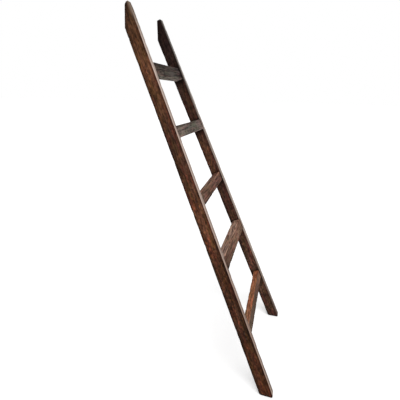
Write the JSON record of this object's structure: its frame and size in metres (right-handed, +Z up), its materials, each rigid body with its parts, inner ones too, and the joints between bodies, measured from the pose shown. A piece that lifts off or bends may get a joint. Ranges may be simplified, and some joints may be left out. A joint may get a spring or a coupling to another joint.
{
  "type": "decorative ladder",
  "caption": "Leaning decorative ladder of dark reclaimed wood, with tapering rails and uneven flat rungs let into them.",
  "frame": {"origin": "on the floor, midway between the rails and midway between the toes and the wall", "axes": "+Z up, +X to the right when facing the ladder's front, +Y from the front towards the wall"},
  "size_m": [0.4726, 0.595, 1.4105],
  "materials": {
    "rail_wood": "worn dark stained reclaimed timber, satin, with paler rubbed edges",
    "rung_wood": "weathered brown and grey reclaimed timber, matt to satin",
    "nail_iron": "dull dark iron with a little rust"
  },
  "bodies": {
    "root": {"left_rail": "rail_wood", "right_rail": "rail_wood", "rung_1": "rung_wood", "rung_2": "rung_wood", "rung_3": "rung_wood", "rung_4": "rung_wood", "rung_5": "rung_wood", "rung_1_left_nails": "nail_iron", "rung_1_right_nails": "nail_iron", "rung_2_left_nails": "nail_iron", "rung_2_right_nails": "nail_iron", "rung_3_left_nails": "nail_iron", "rung_3_right_nails": "nail_iron", "rung_4_left_nails": "nail_iron", "rung_4_right_nails": "nail_iron", "rung_5_left_nails": "nail_iron", "rung_5_right_nails": "nail_iron"}
  },
  "joints": []
}
